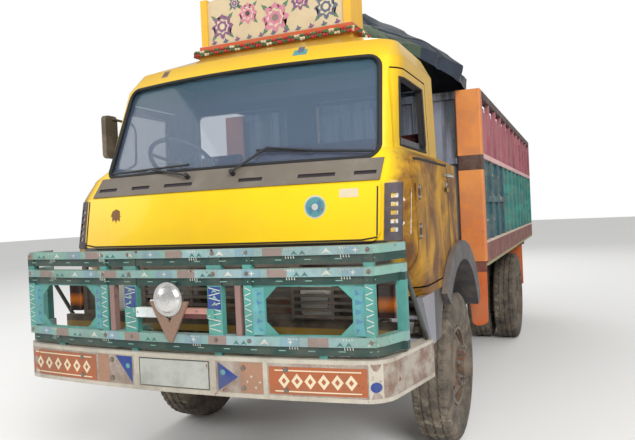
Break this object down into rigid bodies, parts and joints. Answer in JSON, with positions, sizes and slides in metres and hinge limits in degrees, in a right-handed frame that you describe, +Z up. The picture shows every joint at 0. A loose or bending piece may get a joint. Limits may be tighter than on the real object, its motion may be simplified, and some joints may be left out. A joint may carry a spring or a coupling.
{
  "type": "decorated truck",
  "caption": "Forward-control lorry with a painted steel guard, roof headboard, opening front lid, doors and tailgate, steered front wheels and an open slatted load body.",
  "frame": {"origin": "on the ground below the centre of the truck's overall length and width", "axes": "+Z up, the truck faces -Y, +X is its left side, +Y along its length towards the tailgate"},
  "size_m": [2.4, 7.745, 3.3999],
  "materials": {
    "cab_paint": "aged gloss",
    "frame_paint": "dull",
    "guard_paint": "gloss",
    "bumper_paint": "aged gloss",
    "grey_paint": "dull",
    "side_paint": "painted, worn",
    "plank": "worn",
    "board_paint": "gloss",
    "orange_paint": "gloss",
    "cast": "dusty",
    "steel": "dusty",
    "chrome": "worn",
    "tyre": "dusty",
    "glass": "clear",
    "lamp": "gloss",
    "black_plastic": "matte",
    "canvas": "matte",
    "seat_cover": "worn"
  },
  "bodies": {
    "chassis": {"battery_box": "frame_paint", "body_ends": "orange_paint", "body_sides": "side_paint", "cab_glass": "glass", "cab_shell": "cab_paint", "chassis_frame": "frame_paint", "dashboard": "black_plastic", "engine_block": "cast", "exhaust": "steel", "floor_rails": "frame_paint", "front_axle": "cast", "front_bumper": "bumper_paint", "front_ornament": "chrome", "fuel_tank": "grey_paint", "grille": "grey_paint", "guard": "guard_paint", "headboard": "board_paint", "lamps": "lamp", "leaf_springs": "steel", "load_floor": "plank", "propeller_shaft": "steel", "rear_axle": "cast", "seat_frames": "black_plastic", "seats": "seat_cover", "splash_plates": "orange_paint", "tarp_bundle": "canvas", "vent_panels": "black_plastic", "wheel_arches": "grey_paint", "wipers": "black_plastic"},
    "front_lid": {"front_lid": "cab_paint"},
    "door_left": {"door_left": "cab_paint", "door_glass_left": "glass"},
    "door_right": {"door_right": "cab_paint", "door_glass_right": "glass", "mirror_right": "chrome"},
    "steering_wheel": {"steering_wheel": "black_plastic"},
    "knuckle_left": {"knuckle_left": "cast"},
    "knuckle_right": {"knuckle_right": "cast"},
    "track_rod": {"track_rod": "steel"},
    "wheel_front_left": {"tyre_front_left": "tyre", "rim_front_left": "steel"},
    "wheel_front_right": {"tyre_front_right": "tyre", "rim_front_right": "steel"},
    "wheel_rear_left": {"tyres_rear_left": "tyre", "rims_rear_left": "steel"},
    "wheel_rear_right": {"tyres_rear_right": "tyre", "rims_rear_right": "steel"},
    "tailgate": {"tailgate": "side_paint"}
  },
  "joints": [
    {"name": "steer_left", "type": "hinge", "parent": "chassis", "child": "knuckle_left", "pos_m": [0.86, -2.0875, 0.505], "axis": [0, 0, 1], "range_deg": [-35, 35]},
    {"name": "steer_right", "type": "hinge", "parent": "chassis", "child": "knuckle_right", "pos_m": [-0.86, -2.0875, 0.505], "axis": [0, 0, 1], "range_deg": [-35, 35]},
    {"name": "track_rod_pivot", "type": "hinge", "parent": "knuckle_left", "child": "track_rod", "pos_m": [0.86, -1.8975, 0.37], "axis": [0, 0, 1], "range_deg": [-35, 35]},
    {"name": "steering_wheel_turn", "type": "hinge", "parent": "chassis", "child": "steering_wheel", "pos_m": [-0.55, -2.8875, 1.98], "axis": [0, 0.6428, 0.766], "range_deg": [-560, 560]},
    {"name": "spin_front_left", "type": "hinge", "parent": "knuckle_left", "child": "wheel_front_left", "pos_m": [1, -2.0875, 0.505], "axis": [1, 0, 0], "continuous": true},
    {"name": "spin_front_right", "type": "hinge", "parent": "knuckle_right", "child": "wheel_front_right", "pos_m": [-1, -2.0875, 0.505], "axis": [1, 0, 0], "continuous": true},
    {"name": "spin_rear_left", "type": "hinge", "parent": "chassis", "child": "wheel_rear_left", "pos_m": [0.909, 1.4725, 0.505], "axis": [1, 0, 0], "continuous": true},
    {"name": "spin_rear_right", "type": "hinge", "parent": "chassis", "child": "wheel_rear_right", "pos_m": [-0.909, 1.4725, 0.505], "axis": [1, 0, 0], "continuous": true},
    {"name": "lid_hinge", "type": "hinge", "parent": "chassis", "child": "front_lid", "pos_m": [0, -3.4035, 1.75], "axis": [-1, 0, 0], "range_deg": [0, 70]},
    {"name": "door_left_hinge", "type": "hinge", "parent": "chassis", "child": "door_left", "pos_m": [1.13, -3.1795, 1.8], "axis": [0, 0, -1], "range_deg": [0, 70]},
    {"name": "door_right_hinge", "type": "hinge", "parent": "chassis", "child": "door_right", "pos_m": [-1.13, -3.1795, 1.8], "axis": [0, 0, 1], "range_deg": [0, 70]},
    {"name": "tailgate_hinge", "type": "hinge", "parent": "chassis", "child": "tailgate", "pos_m": [0, 3.8585, 1.3], "axis": [-1, 0, 0], "range_deg": [0, 170]}
  ],
  "couplings": [
    {"joint": "steer_right", "follows": "steer_left", "ratio": 1},
    {"joint": "track_rod_pivot", "follows": "steer_left", "ratio": -1},
    {"joint": "steering_wheel_turn", "follows": "steer_left", "ratio": 16}
  ]
}
